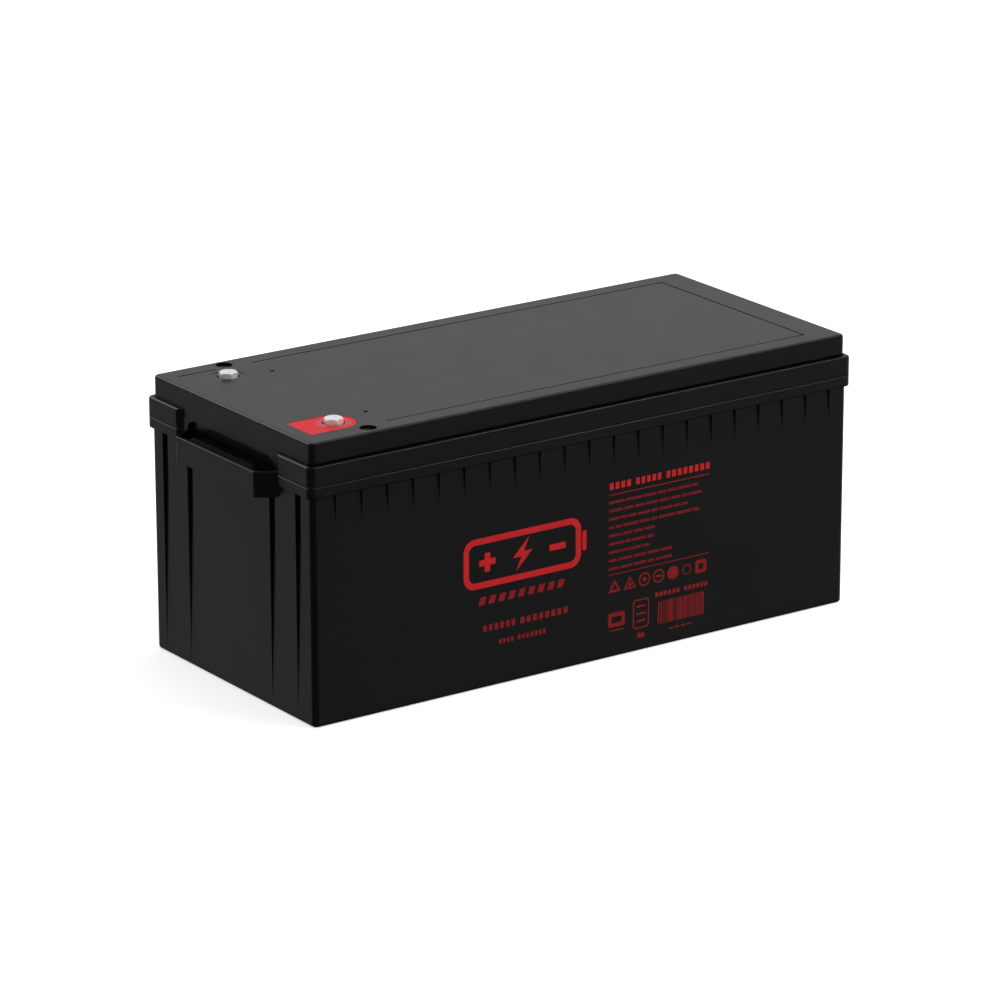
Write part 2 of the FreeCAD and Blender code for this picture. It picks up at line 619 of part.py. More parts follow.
def rope_handle(word, side):
    """One rope: two ends that turn down through the tray, and the run between them."""
    run_height = amount_of("tray_top + rope_lift + rope_radius")
    reach = amount_of("case_length / 2 + rope_reach") * side
    half = amount_of("rope_half")
    bend = amount_of("rope_bend")
    stop_top = amount_of("tray_top - tray_thick - stop_play")
    stop_base = stop_top - amount_of("stop_height")
    ends = []
    for across in ENDS:
        low = FreeCAD.Vector(reach, across * half, stop_top - 1)
        start = FreeCAD.Vector(reach, across * half, run_height - bend)
        diagonal = bend * (1 - 0.5 ** 0.5)
        middle = FreeCAD.Vector(reach, across * (half - diagonal), run_height - diagonal)
        finish = FreeCAD.Vector(reach, across * (half - bend), run_height)
        path = Part.Wire([Part.LineSegment(low, start).toShape(),
                          Part.Arc(start, middle, finish).toShape()])
        ring = Part.Circle(low, FreeCAD.Vector(0, 0, 1), amount_of("rope_radius"))
        tube = path.makePipeShell([Part.Wire(ring.toShape())], True, False)
        stop = Part.makeCylinder(amount_of("stop_radius"), amount_of("stop_height"),
                                 FreeCAD.Vector(reach, across * half, stop_base))
        rims = [edge for edge in stop.Edges if len(edge.Vertexes) == 1]
        stop = stop.makeFillet(amount_of("stop_round"), rims)
        ends.append(tube.fuse(stop).removeSplitter())
    tails = doc.addObject("Part::Feature", f"{word}_rope_ends")
    tails.Shape = Part.makeCompound([shape.Solids[0] for shape in ends])

    run = doc.addObject("Part::Cylinder", f"{word}_rope_run")
    bind(run, Radius="rope_radius", Height="2 * (rope_half - rope_bend)")
    place(run, f"{side} * (case_length / 2 + rope_reach)", "rope_half - rope_bend",
          "tray_top + rope_lift + rope_radius")
    run.Placement.Rotation = FreeCAD.Rotation(FreeCAD.Vector(1, 0, 0), 90)
    return [tails, run]


# ---------------------------------------------------------------- plate packs

def pack_pieces():
    """The plates and mats of one cell, about the cell's own middle.

    Positive lugs are towards -X and negative lugs towards +X.
    """
    step = "(positive_thick + negative_thick + 2 * mat_thick)"
    first = f"(-{POSITIVE_PLATES} * {step} / 2)"
    positives = []
    negatives = []
    mats = []

    def plate(name, thick, middle, lug_side):
        y = (f"{middle} - {thick} / 2", f"{middle} + {thick} / 2")
        sheet_part = box(f"{name}_sheet", ("-plate_length / 2", "plate_length / 2"), y,
                         ("plate_foot", "plate_top"))
        lug = box(f"{name}_lug", (f"{lug_side} * lug_offset - lug_length / 2",
                                  f"{lug_side} * lug_offset + lug_length / 2"), y,
                  ("plate_top", "strap_base"))
        return fuse(name, [sheet_part, lug])

    for index in range(POSITIVE_PLATES + 1):
        middle = f"{first} + {index} * {step}"
        negatives.append(plate(f"negative_plate_{index + 1}", "negative_thick", middle, 1))
    for index in range(POSITIVE_PLATES):
        middle = f"{first} + ({index} + 0.5) * {step}"
        positives.append(plate(f"positive_plate_{index + 1}", "positive_thick", middle, -1))
        for across in ENDS:
            centre = f"({middle} + {across} * (positive_thick + mat_thick) / 2)"
            mats.append(box(f"mat_{len(mats) + 1}", ("-mat_length / 2", "mat_length / 2"),
                            (f"{centre} - mat_thick / 2", f"{centre} + mat_thick / 2"),
                            ("mat_foot", "mat_top")))
    return positives, negatives, mats


def cells():
    """Six packs in series: along the front row to +X, then back along the rear row."""
    positives, negatives, mats = pack_pieces()
    made = []
    route = [(-1, -1), (0, -1), (1, -1), (1, 1), (0, 1), (-1, 1)]
    for number, (column, side) in enumerate(route, start=1):
        turned = 180 if side > 0 else 0
        pieces = [("positive_plates", positives), ("negative_plates", negatives),
                  ("separators", mats)]
        for word, shapes in pieces:
            pack = group(f"cell_{number}_{word}", shapes)
            place(pack, f"{column} * {CELL_STEP}", f"{side} * {ROW_HALF}")
            pack.Placement.Rotation = FreeCAD.Rotation(FreeCAD.Vector(0, 0, 1), turned)
            made.append(pack)
        for word, sign in (("positive", 1), ("negative", -1)):
            # the positive strap is at -X in the front row and at +X in the rear row
            middle = f"({column} * {CELL_STEP} + {sign * side} * lug_offset)"
            made.append(box(f"cell_{number}_{word}_strap",
                            (f"{middle} - strap_length / 2", f"{middle} + strap_length / 2"),
                            (f"{side} * {ROW_HALF} - strap_half",
                             f"{side} * {ROW_HALF} + strap_half"),
                            ("strap_base", "strap_top")))
    return made


def connectors():
    """The five lead bars that pass through the partitions from cell to cell."""
    made = []
    height = ("strap_base", "strap_top")
    for number, across, side in ((1, -1, -1), (2, 1, -1), (4, 1, 1), (5, -1, 1)):
        wall = f"{across} * {CELL_STEP} / 2"
        reach = f"({CELL_STEP} / 2 - lug_offset - strap_length / 2)"
        made.append(box(f"connector_{number}_{number + 1}",
                        (f"{wall} - {reach}", f"{wall} + {reach}"),
                        (f"{side} * {ROW_HALF} - bridge_half",
                         f"{side} * {ROW_HALF} + bridge_half"), height))
    link = f"({CELL_STEP} + lug_offset)"
    gap = f"({ROW_HALF} - strap_half)"
    made.append(box("connector_3_4",
                    (f"{link} - strap_length / 2", f"{link} + strap_length / 2"),
                    (f"-{gap}", gap), height))
    return made


# ---------------------------------------------------------------- build, check and write

parts = [container(), lid_body(), vent_cover(), relief_valves(), flame_arrestors(), positive_mark()]
parts += terminal("positive", -1) + terminal("negative", 1)
parts += rope_handle("left", -1) + rope_handle("right", 1)
parts += cells() + connectors()
doc.recompute()

for thing in doc.Objects:
    if "Invalid" in thing.State or "Error" in thing.State:
        raise RuntimeError(f"{thing.Name} failed to compute: {thing.State}")
    if thing.TypeId == "PartDesign::Pocket" and thing.BaseFeature is not None:
        if thing.Shape.Volume > thing.BaseFeature.Shape.Volume - 0.5:
            raise RuntimeError(f"{thing.Name} cuts nothing")

os.makedirs("parts", exist_ok=True)
for part in parts:
    part.Label = part.Name
    shape = part.Shape
    if shape.isNull() or not shape.isValid():
        raise RuntimeError(f"{part.Name} has no valid shape")
    shape.exportStep(f"parts/{part.Label}.step")
    bounds = shape.BoundBox
    print(f"{part.Label:26s} solids {len(shape.Solids):3d} volume {shape.Volume / 1000:9.2f} cm3 "
          f"x {bounds.XMin:8.2f} {bounds.XMax:8.2f} y {bounds.YMin:8.2f} {bounds.YMax:8.2f} "
          f"z {bounds.ZMin:7.2f} {bounds.ZMax:7.2f}")
print(len(parts), "parts")
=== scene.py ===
"""Deep cycle battery: the visual model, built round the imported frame.

Metres, +Z up, the same frame as the CAD. The container, lid, vent cover and everything inside
them are CAD nodes with a finish of their own. Bolts, washers, seals, the positive mark, the
rope handles and the print on the front are modelled here.
"""
import json
import math
import random

import bpy
from mathutils import Euler, Matrix, Vector
from mathutils.bvhtree import BVHTree


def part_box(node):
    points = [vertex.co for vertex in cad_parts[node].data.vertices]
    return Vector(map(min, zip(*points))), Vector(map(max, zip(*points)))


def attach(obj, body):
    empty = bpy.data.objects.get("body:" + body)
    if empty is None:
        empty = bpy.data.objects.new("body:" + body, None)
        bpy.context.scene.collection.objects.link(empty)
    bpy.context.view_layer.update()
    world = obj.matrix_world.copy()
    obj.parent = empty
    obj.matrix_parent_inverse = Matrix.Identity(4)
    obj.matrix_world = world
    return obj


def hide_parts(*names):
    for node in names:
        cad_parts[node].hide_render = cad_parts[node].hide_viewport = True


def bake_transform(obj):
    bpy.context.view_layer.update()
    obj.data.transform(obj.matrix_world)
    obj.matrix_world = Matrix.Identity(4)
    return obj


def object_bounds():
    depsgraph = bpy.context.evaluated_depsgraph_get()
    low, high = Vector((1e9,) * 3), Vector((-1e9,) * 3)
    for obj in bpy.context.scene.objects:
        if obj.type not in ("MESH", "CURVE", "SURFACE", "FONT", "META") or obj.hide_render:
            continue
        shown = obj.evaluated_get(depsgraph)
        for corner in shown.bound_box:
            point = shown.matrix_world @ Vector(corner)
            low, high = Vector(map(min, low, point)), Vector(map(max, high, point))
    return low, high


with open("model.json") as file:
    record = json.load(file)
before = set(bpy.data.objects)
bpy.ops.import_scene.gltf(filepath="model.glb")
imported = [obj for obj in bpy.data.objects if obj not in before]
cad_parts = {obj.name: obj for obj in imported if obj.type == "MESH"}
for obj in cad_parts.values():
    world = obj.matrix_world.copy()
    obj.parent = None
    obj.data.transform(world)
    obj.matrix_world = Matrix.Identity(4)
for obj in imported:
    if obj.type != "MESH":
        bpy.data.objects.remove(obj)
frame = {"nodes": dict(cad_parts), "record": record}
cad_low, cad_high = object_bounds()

MM = 0.001
nodes = frame["nodes"]
SMOOTH_BELOW = math.radians(32)


# ---------------------------------------------------------------- finishes

class Finish:
    """A procedural material, with short calls for the nodes that it is made of."""

    def __init__(self, name, **settings):
        self.material = bpy.data.materials.new(name)
        self.material.use_nodes = True
        self.tree = self.material.node_tree
        self.shader = self.tree.nodes["Principled BSDF"]
        for socket, value in settings.items():
            self.shader.inputs[socket.replace("_", " ")].default_value = value
        self.coordinates = self.node("ShaderNodeTexCoord")
        self.normal = None

    def node(self, kind, **settings):
        made = self.tree.nodes.new(kind)
        for key, value in settings.items():
            setattr(made, key, value)
        return made

    def link(self, source, target):
        self.tree.links.new(source, target)

    def mapped(self, size, stretch=(1, 1, 1), source="Object"):
        """Coordinates in which one unit is size metres, drawn out along each axis by stretch."""
        made = self.node("ShaderNodeMapping")
        made.inputs["Scale"].default_value = [1 / (size * along) for along in stretch]
        self.link(self.coordinates.outputs[source], made.inputs["Vector"])
        return made.outputs["Vector"]

    def noise(self, size, detail=3.0, stretch=(1, 1, 1), source="Object"):
        made = self.node("ShaderNodeTexNoise")
        made.inputs["Scale"].default_value = 1.0
        made.inputs["Detail"].default_value = detail
        self.link(self.mapped(size, stretch, source), made.inputs["Vector"])
        return made.outputs["Fac"]

    def cells(self, size, stretch=(1, 1, 1)):
        made = self.node("ShaderNodeTexVoronoi")
        made.inputs["Scale"].default_value = 1.0
        self.link(self.mapped(size, stretch), made.inputs["Vector"])
        return made.outputs["Distance"]

    def axis(self, letter):
        """One coordinate of the surface, in metres."""
        made = self.node("ShaderNodeSeparateXYZ")
        self.link(self.coordinates.outputs["Object"], made.inputs[0])
        return made.outputs[letter]

    def spread(self, source, low, high, start=0.3, end=0.7):
        """source, as it goes from start to end, turned into low to high."""
        made = self.node("ShaderNodeMapRange")
        self.link(source, made.inputs["Value"])
        for socket, value in (("From Min", start), ("From Max", end),
                              ("To Min", low), ("To Max", high)):
            made.inputs[socket].default_value = value
        return made.outputs["Result"]

    def total(self, first, second):
        made = self.node("ShaderNodeMath", operation="ADD")
        self.link(first, made.inputs[0])
        self.link(second, made.inputs[1])
        return made.outputs[0]

    def colour(self, source, *stops, start=0.3, end=0.7):
        """Base colour through a ramp of evenly spaced stops."""
        ramp = self.node("ShaderNodeValToRGB")
        elements = ramp.color_ramp.elements
        while len(elements) < len(stops):
            elements.new(0.5)
        for index, stop in enumerate(stops):
            elements[index].position = start + (end - start) * index / (len(stops) - 1)
            elements[index].color = (*stop, 1)
        self.link(source, ramp.inputs["Fac"])
        self.link(ramp.outputs["Color"], self.shader.inputs["Base Color"])

    def roughness(self, source):
        self.link(source, self.shader.inputs["Roughness"])

    def bump(self, source, height):
        """Relief of the given height in metres; several calls add up."""
        made = self.node("ShaderNodeBump")
        made.inputs["Distance"].default_value = height
        self.link(source, made.inputs["Height"])
        if self.normal is not None:
            self.link(self.normal, made.inputs["Normal"])
        self.normal = made.outputs["Normal"]
        self.link(self.normal, self.shader.inputs["Normal"])


SCUFFED_FOOT = 9 * MM      # how far up from the floor the walls are scuffed
GRID_REPEAT = 9 * MM       # two columns or four rows of the wires in a plate's grid


def shades(colour, *factors):
    """A colour and its darker and lighter versions, for a ramp."""
    return [tuple(channel * factor for channel in colour) for factor in factors]


def moulded_black(name, tone, rough):
    """Black ABS from a spark-eroded mould: fine grain, faint flow marks, scuffs near the foot."""
    finish = Finish(name, IOR=1.5)
    finish.colour(finish.noise(45 * MM, 4), *shades(tone, 0.8, 1.0, 1.3))
    flow = finish.spread(finish.noise(28 * MM, 4, (1, 1, 2.5)), rough - 0.015, rough + 0.015)
    scratches = finish.spread(finish.noise(0.9 * MM, 2, (1, 1, 30)), 0, 0.04, 0.66, 0.78)
    foot = finish.spread(finish.axis("Z"), 0.10, 0, 0.0, SCUFFED_FOOT)
    finish.roughness(finish.total(finish.total(flow, scratches), foot))
    finish.bump(finish.noise(70 * MM, 1), 0.03 * MM)
    finish.bump(finish.noise(0.55 * MM, 2), 0.005 * MM)
    return finish.material


def printed_red(name, colour, rough):
    """Ink or film: slightly uneven colour, tiny pinholes."""
    finish = Finish(name, IOR=1.48, Specular_IOR_Level=0.15)
    finish.colour(finish.noise(6 * MM, 4), *shades(colour, 0.9, 1.0, 1.06))
    finish.roughness(finish.spread(finish.noise(2.5 * MM, 3), rough - 0.05, rough + 0.06))
    finish.bump(finish.noise(0.4 * MM, 2), 0.006 * MM)
    return finish.material


def potting_resin(name, colour):
    """Cast epoxy, nearly flat, with a few trapped bubbles."""
    finish = Finish(name, IOR=1.5)
    finish.colour(finish.noise(4 * MM, 3), *shades(colour, 0.85, 1.0, 1.1))
    finish.roughness(finish.spread(finish.noise(3 * MM, 3), 0.24, 0.34))
    finish.bump(finish.noise(5 * MM, 2), 0.04 * MM)
    finish.bump(finish.spread(finish.cells(1.9 * MM), 0, 1, 0.05, 0.14), 0.03 * MM)
    return finish.material


def plated_steel():
    finish = Finish("bright_zinc", Metallic=0.5)
    finish.colour(finish.noise(1.8 * MM, 4), (0.84, 0.84, 0.83), (0.95, 0.95, 0.94),
                  (1.0, 1.0, 1.0))
    finish.roughness(finish.spread(finish.noise(1.1 * MM, 4), 0.22, 0.38))
    finish.bump(finish.noise(0.35 * MM, 3, (1, 1, 4)), 0.012 * MM)
    return finish.material


def turned_brass():
    finish = Finish("turned_brass", Metallic=1.0)
    finish.colour(finish.noise(2 * MM, 3), (0.55, 0.37, 0.14), (0.74, 0.55, 0.27))
    finish.roughness(finish.spread(finish.noise(1.5 * MM, 3), 0.20, 0.36))
    finish.bump(finish.noise(0.25 * MM, 1, (40, 40, 1)), 0.01 * MM)
    return finish.material


def cast_lead():
    finish = Finish("cast_lead", Metallic=1.0)
    finish.colour(finish.noise(5 * MM, 5), (0.16, 0.165, 0.18), (0.30, 0.31, 0.33),
                  (0.42, 0.43, 0.45))
    finish.roughness(finish.spread(finish.noise(3 * MM, 4), 0.42, 0.68))
    finish.bump(finish.noise(1.6 * MM, 4), 0.12 * MM)
    return finish.material


def pasted_plate(name, dark, light, metallic):
    """Active material pressed into a grid, whose wires show as a lattice across X and Z."""
    finish = Finish(name, Metallic=metallic, IOR=1.6)
    finish.colour(finish.noise(3 * MM, 5), dark, light)
    finish.roughness(finish.spread(finish.noise(1.2 * MM, 4), 0.65, 0.9))
    lattice = finish.node("ShaderNodeTexBrick", offset=0.0)
    lattice.inputs["Scale"].default_value = 1.0
    lattice.inputs["Mortar Size"].default_value = 0.06
    face = finish.node("ShaderNodeCombineXYZ")
    grid = finish.node("ShaderNodeSeparateXYZ")
    finish.link(finish.mapped(GRID_REPEAT), grid.inputs[0])
    finish.link(grid.outputs["X"], face.inputs["X"])
    finish.link(grid.outputs["Z"], face.inputs["Y"])
    finish.link(face.outputs[0], lattice.inputs["Vector"])
    finish.bump(lattice.outputs["Fac"], 0.25 * MM)
    finish.bump(finish.noise(0.8 * MM, 3), 0.08 * MM)
    return finish.material


def glass_fleece():
    finish = Finish("glass_fleece", IOR=1.45, Sheen_Weight=0.3)
    finish.colour(finish.noise(8 * MM, 4), (0.74, 0.74, 0.71), (0.88, 0.88, 0.86))
    finish.roughness(finish.spread(finish.noise(2 * MM, 3), 0.85, 0.97))
    finish.bump(finish.noise(0.3 * MM, 4, (6, 1, 1)), 0.06 * MM)
    finish.bump(finish.noise(0.3 * MM, 4, (1, 1, 6)), 0.06 * MM)
    return finish.material


def matt_rubber():
    finish = Finish("matt_rubber", IOR=1.5)
    finish.colour(finish.noise(6 * MM, 4), (0.012, 0.012, 0.013), (0.028, 0.028, 0.029))
    finish.roughness(finish.spread(finish.noise(4 * MM, 4), 0.55, 0.78))
    finish.bump(finish.noise(0.3 * MM, 2), 0.02 * MM)
    return finish.material


def sintered_disc():
    """Porous disc: small beads fused together, with painted shade in the gaps between them."""
    finish = Finish("sintered_disc", IOR=1.45, Specular_IOR_Level=0.15)
    beads = finish.cells(0.55 * MM)
    # painted shade: the colour is lighter on each bead's top and darker in the gaps between beads
    finish.colour(beads, (0.070, 0.070, 0.072), (0.014, 0.014, 0.014), start=0.2, end=0.6)
    finish.roughness(finish.spread(finish.noise(1 * MM, 2), 0.7, 0.9))
    finish.bump(finish.spread(beads, 1, 0, 0.0, 0.7), 0.2 * MM)
    return finish.material


def nylon_yarn():
    """Filaments that run along each strand; the UV map's U goes along it, in metres."""
    finish = Finish("nylon_yarn", IOR=1.45, Specular_IOR_Level=0.1)
    filaments = finish.noise(0.14 * MM, 2, (22, 1, 1), source="UV")
    finish.colour(filaments, (0.001, 0.001, 0.001), (0.002, 0.002, 0.002), (0.004, 0.004, 0.004))
    finish.roughness(finish.spread(filaments, 0.34, 0.55))
    finish.bump(filaments, 0.05 * MM)
    return finish.material


BLACK = (0.0016, 0.0016, 0.0018)
RED = (0.60, 0.016, 0.022)
WALL_RED = (0.37, 0.004, 0.006)
FINE_RED = (0.17, 0.003, 0.004)
finishes = {
    "case_plastic": moulded_black("container_abs", BLACK, 0.30),
    "lid_plastic": moulded_black("lid_abs", BLACK, 0.31),
    "mark_red": printed_red("red_print", RED, 0.42),
    "seal_red": potting_resin("red_resin", (0.50, 0.012, 0.018)),
    "seal_black": potting_resin("black_resin", (0.0018, 0.0018, 0.0020)),
    "fastener_steel": plated_steel(),
    "insert_brass": turned_brass(),
    "lead": cast_lead(),
    "positive_plate": pasted_plate("lead_dioxide", (0.045, 0.022, 0.014),
                                   (0.10, 0.052, 0.034), 0.0),
    "negative_plate": pasted_plate("sponge_lead", (0.14, 0.145, 0.15), (0.27, 0.28, 0.29), 0.6),
    "glass_mat": glass_fleece(),
    "rubber": matt_rubber(),
    "porous_disc": sintered_disc(),
    "rope": nylon_yarn(),
}
wall_ink = printed_red("wall_ink", WALL_RED, 0.42)
fine_ink = printed_red("fine_ink", FINE_RED, 0.42)


def paint(thing, material):
    """Give every slot of an object one material, held by the object and not by its mesh."""
    if not thing.material_slots:
        thing.data.materials.append(material)
    for held in thing.material_slots:
        held.link = "OBJECT"
        held.material = material


for part in frame["record"]["subparts"]:
    paint(nodes[part["node"]], finishes[part["material_slot"]])


# ---------------------------------------------------------------- meshes

def piece(name, points, faces, slot, body=None, smooth=True):
    """A mesh piece in the row frame, finished from a material slot and riding on a body."""
    data = bpy.data.meshes.new(name)
    data.from_pydata([tuple(point) for point in points], [], faces)
    data.validate()
    made = bpy.data.objects.new(name, data)
    bpy.context.collection.objects.link(made)
    if smooth:
        data.shade_smooth()
        data.set_sharp_from_angle(angle=SMOOTH_BELOW)
    paint(made, finishes[slot])
    if body:
        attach(made, body)
    return made


def loft(rings, closed=False):
    """Points and faces of the skin through rings of equal count, facing out when the rings
    run anticlockwise about the way they are stacked. Closed joins the last ring to the first;
    otherwise both ends are capped."""
    count = len(rings[0])
    points = [point for ring in rings for point in ring]
    faces = []
    for index in range(len(rings) if closed else len(rings) - 1):
        near = index * count
        far = (index + 1) % len(rings) * count
        for step in range(count):
            after = (step + 1) % count
            faces.append((near + step, near + after, far + after, far + step))
    if not closed:
        faces.append(tuple(reversed(range(count))))
        faces.append(tuple(range(len(points) - count, len(points))))
    return points, faces


def about(centre, radius_at, z, angles):
    """A ring about the upright axis through centre; radius_at gives its radius by angle."""
    return [Vector((centre.x + radius_at(angle) * math.cos(angle),
                    centre.y + radius_at(angle) * math.sin(angle), z)) for angle in angles]


def turn(count, start=0.0):
    """Angles evenly round a full turn."""
    return [start + math.tau * step / count for step in range(count)]


def rounded(left, right, low, high, radius, steps):
    """Points anticlockwise round a rectangle with rounded corners."""
    corners = ((right - radius, low + radius, -90), (right - radius, high - radius, 0),
               (left + radius, high - radius, 90), (left + radius, low + radius, 180))
    outline = []
    for across, up, start in corners:
        for step in range(steps + 1):
            angle = math.radians(start + 90 * step / steps)
            outline.append((across + radius * math.cos(angle), up + radius * math.sin(angle)))
    return outline


def ring_piece(name, centre, section, slot, body):
    """A closed section of (radius, height) points turned about the upright axis at centre."""
    angles = turn(96)
    rings = [about(centre, lambda angle: radius, z, angles) for radius, z in section]
    points, faces = loft(rings, closed=True)
    return piece(name, points, faces, slot, body)


# ---------------------------------------------------------------- terminals

SEALS = {"positive": "red", "negative": "black"}
HEAD_FLATS = 13 * MM
HEAD_HEIGHT = 5.3 * MM
HEAD_TURN = math.radians(16)
HEAD_CHAMFER = 0.8 * MM    # height over which the corners are turned down
HEAD_TOP = 6.15 * MM       # radius of the flat on top
HEAD_DISH = ((5.9, 0.0), (4.3, 0.0), (4.0, 0.2), (3.5, 0.42), (1.0, 0.5), (0.8, 0.75),
             (0.3, 0.95))  # radius and depth across the dished top, mm
THREAD_RADIUS = 3.95 * MM
THREAD_PITCH = 1.25 * MM
THREAD_DEPTH = 0.66 * MM
THREAD_STEPS = 10          # rings of points in each turn of thread
THREAD_TIP = 3.1 * MM      # radius that the lead-in starts from
WASHER_BORE = 4.3 * MM
SPRING_LIFT = 0.16 * MM    # how far a spring washer's ends stand off level
SPRING_SLIT = math.radians(9)
SEAL_BORE = 9.7 * MM       # radius round the pole
SEAL_MOUTH = 8.45 * MM     # radius over the pole's shoulder
SEAL_REACH = 0.08 * MM     # how far the resin wets the wall round it
SEAL_DIP = 0.12 * MM
SEAL_STEPS = 12
MARK_BORE = 13.42 * MM
MARK_ROUND = 0.35 * MM     # width of the mark's rounded edge
MARK_RIM = 1.1 * MM        # width of its raised rim
MARK_STEP = 0.15 * MM      # width of the slope inside the rim
MARK_SUNK = 0.14 * MM      # depth of the face inside the rim


def bolt(word):
    """M8 hexagon bolt with a dished head and a cut thread."""
    low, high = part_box(f"{word}_bolt")
    centre = (low + high) / 2
    top = high.z
    seat = top - HEAD_HEIGHT
    angles = turn(72, HEAD_TURN)

    def hexagon(angle):
        across = (angle - HEAD_TURN) % math.radians(60) - math.radians(30)
        return HEAD_FLATS / 2 / math.cos(across)

    def thread(z):
        """Radius by angle: a groove with a flat crest and root, and a tip at 45 degrees."""
        def radius(angle):
            phase = (z / THREAD_PITCH - angle / math.tau) % 1
            groove = min(1, max(0, 1.25 * abs(2 * phase - 1) - 0.1))
            lead_in = THREAD_TIP + (z - low.z)
            return min(THREAD_RADIUS - THREAD_DEPTH * groove, lead_in)
        return radius

    def limited(limit):
        return lambda angle: min(limit, hexagon(angle))

    def plain(radius):
        return lambda angle: radius

    rings = []
    levels = round((seat - low.z) / THREAD_PITCH * THREAD_STEPS)
    for level in range(levels + 1):
        z = low.z + (seat - low.z) * level / levels
        rings.append(about(centre, thread(z), z, angles))
    corner = HEAD_FLATS / 2 / math.cos(math.radians(30))
    for shape, height in ((plain(6.2 * MM), 0.0), (plain(6.3 * MM), 0.25 * MM),
                          (limited(corner - 0.2 * MM), 0.3 * MM), (hexagon, 0.5 * MM)):
        rings.append(about(centre, shape, seat + height, angles))
    for step in range(7):
        share = step / 6
        limit = corner - (corner - HEAD_TOP) * share
        rings.append(about(centre, limited(limit), top - HEAD_CHAMFER * (1 - share), angles))
    for radius, drop in HEAD_DISH:
        rings.append(about(centre, plain(radius * MM), top - drop * MM, angles))
    points, faces = loft(rings)
    made = piece(f"{word}_hex_bolt", points, faces, "fastener_steel", f"{word}_bolt")
    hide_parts(f"{word}_bolt")


def flat_washer(word):
    low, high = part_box(f"{word}_flat_washer")
    section = rounded(WASHER_BORE, (high.x - low.x) / 2, low.z, high.z, 0.3 * MM, 3)
    made = ring_piece(f"{word}_washer", (low + high) / 2, section, "fastener_steel",
                      f"{word}_washers")
    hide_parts(f"{word}_flat_washer")


def spring_washer(word):
    """A split ring whose two ends stand apart at the slit, one a little above the other."""
    low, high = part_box(f"{word}_spring_washer")
    centre = (low + high) / 2
    section = rounded(WASHER_BORE, (high.x - low.x) / 2, low.z + SPRING_LIFT,
                      high.z - SPRING_LIFT, 0.25 * MM, 2)
    count = 90
    rings = []
    for step in range(count + 1):
        share = step / count
        angle = SPRING_SLIT + (math.tau - 2 * SPRING_SLIT) * share
        rise = SPRING_LIFT * (2 * share - 1)
        rings.append([Vector((centre.x + radius * math.cos(angle),
                              centre.y + radius * math.sin(angle), z + rise))
                      for radius, z in reversed(section)])
    points, faces = loft(rings)
    made = piece(f"{word}_split_washer", points, faces, "fastener_steel", f"{word}_washers")
    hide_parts(f"{word}_spring_washer")


def potted_seal(word):
    """Resin poured round the pole, which creeps up the edges as it sets."""
    low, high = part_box(f"{word}_seal")
    outer = (high.x - low.x) / 2 + SEAL_REACH
    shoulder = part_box(f"{word}_pole")[1].z + 0.05 * MM
    section = [(SEAL_BORE, low.z), (outer, low.z), (outer, high.z)]
    width = outer - SEAL_MOUTH
    for step in range(1, SEAL_STEPS):
        across = 2 * step / SEAL_STEPS - 1
        section.append((outer - width * step / SEAL_STEPS,
                        high.z - SEAL_DIP * (1 - across ** 4)))
    section += [(SEAL_MOUTH, high.z - 0.1 * MM), (SEAL_MOUTH, shoulder), (SEAL_BORE, shoulder)]
    made = ring_piece(f"{word}_potting", (low + high) / 2, section, f"seal_{SEALS[word]}",
                      "battery")
    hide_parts(f"{word}_seal")


def positive_plate_mark():
    """The red mark round the positive pole: a square tail, a round end and a raised rim."""
    low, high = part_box("positive_mark")
    radius = (high.y - low.y) / 2
    centre = Vector((high.x - radius, (low.y + high.y) / 2, 0))
    tail = centre.x - low.x
    corner = math.atan2(radius, tail)
    face = high.z - MARK_SUNK

    def outline(inset):
        """Radius by angle of the mark's outline, drawn in by inset."""
        def at(angle):
            if math.cos(angle) >= 0:
                return radius - inset
            sideways = (radius - inset) / max(abs(math.sin(angle)), 1e-6)
            return min(sideways, (tail - inset) / abs(math.cos(angle)))
        return at

    angles = sorted(turn(180) + [math.pi - corner, math.pi + corner])
    shapes = ((outline(0), low.z),
              (outline(0), high.z - MARK_ROUND * 0.6),
              (outline(MARK_ROUND * 0.3), high.z - MARK_ROUND * 0.2),
              (outline(MARK_ROUND), high.z),
              (outline(MARK_RIM), high.z),
              (outline(MARK_RIM + MARK_STEP), face),
              (lambda angle: MARK_BORE, face),
              (lambda angle: MARK_BORE, low.z))
    rings = [about(centre, shape, z, angles) for shape, z in shapes]
    points, faces = loft(rings, closed=True)
    made = piece("positive_red_mark", points, faces, "mark_red", "battery")
    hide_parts("positive_mark")


for terminal in SEALS:
    bolt(terminal)
    flat_washer(terminal)
    spring_washer(terminal)
    potted_seal(terminal)
positive_plate_mark()


# ---------------------------------------------------------------- rope handles

BRAID_RADIUS = 3.25 * MM   # middle of the cover's strands
BRAID_WAVE = 0.34 * MM     # how far a strand goes over and under
BRAID_LAY = 30 * MM        # length of one turn of a strand
STRANDS_EACH_WAY = 8
STRAND_HALF = (1.02 * MM, 0.42 * MM)   # half a strand's width and thickness
STRAND_SIDES = 8
STRAND_GIRTH = 3 * MM      # how much of the yarn pattern goes round a strand
CORE_RADIUS = 2.95 * MM
ROPE_STEP = 0.42 * MM
BEND_SHARE = 0.28          # a share of the way out from the middle
STOP_RADIUS = 6 * MM
STOP_OUTLINE = ((0.4, 0.5), (2.2, 0.5), (2.6, 0.0), (4.4, 0.0), (5.4, 0.35), (5.9, 1.1),
                (6.0, 2.2), (5.85, 3.1), (5.3, 3.9), (4.4, 4.3), (4.15, 4.3),
                (2.5, 4.0))            # radius and height from the foot, mm


